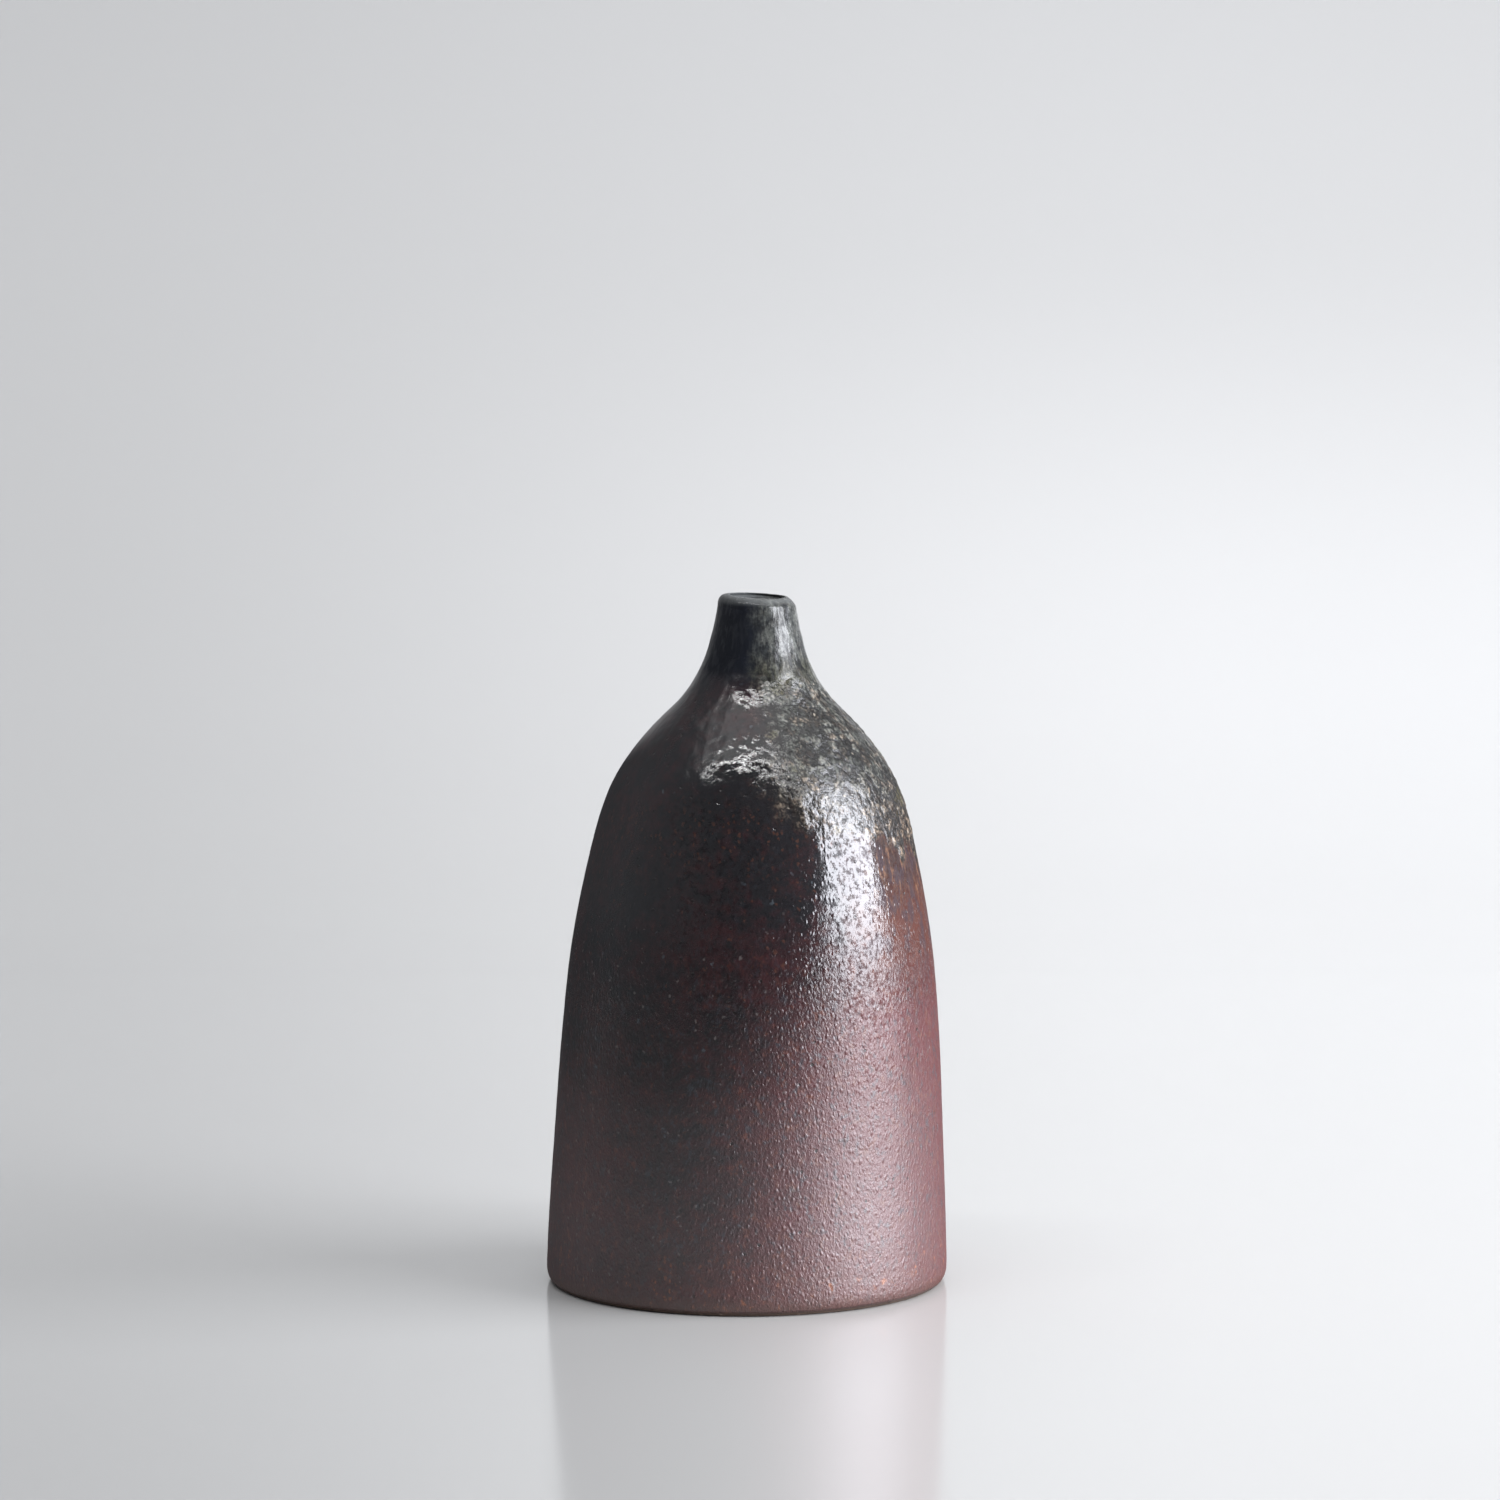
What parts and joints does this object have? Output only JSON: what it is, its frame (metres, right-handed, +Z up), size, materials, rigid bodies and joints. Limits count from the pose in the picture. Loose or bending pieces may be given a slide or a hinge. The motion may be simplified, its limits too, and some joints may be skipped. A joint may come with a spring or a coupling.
{
  "type": "sake bottle",
  "caption": "Wheel-thrown stoneware sake bottle: straight flared body, rounded shoulder, slim neck with a narrow rounded mouth, iron coat and ash glaze.",
  "frame": {"origin": "centre of the foot's resting ring, on the table plane", "axes": "+Z up along the bottle, +X to the side the wall leans and the ash glaze hangs lower, -Y the front"},
  "size_m": [0.0796, 0.0796, 0.1374],
  "materials": {
    "bare_stoneware": "matte",
    "iron_slip": "satin",
    "ash_glaze": "gloss",
    "liner_glaze": "gloss"
  },
  "bodies": {
    "root": {"stoneware_body": "bare_stoneware", "iron_slip_coat": "iron_slip", "ash_glaze_coat": "ash_glaze", "liner_glaze": "liner_glaze"}
  },
  "joints": []
}
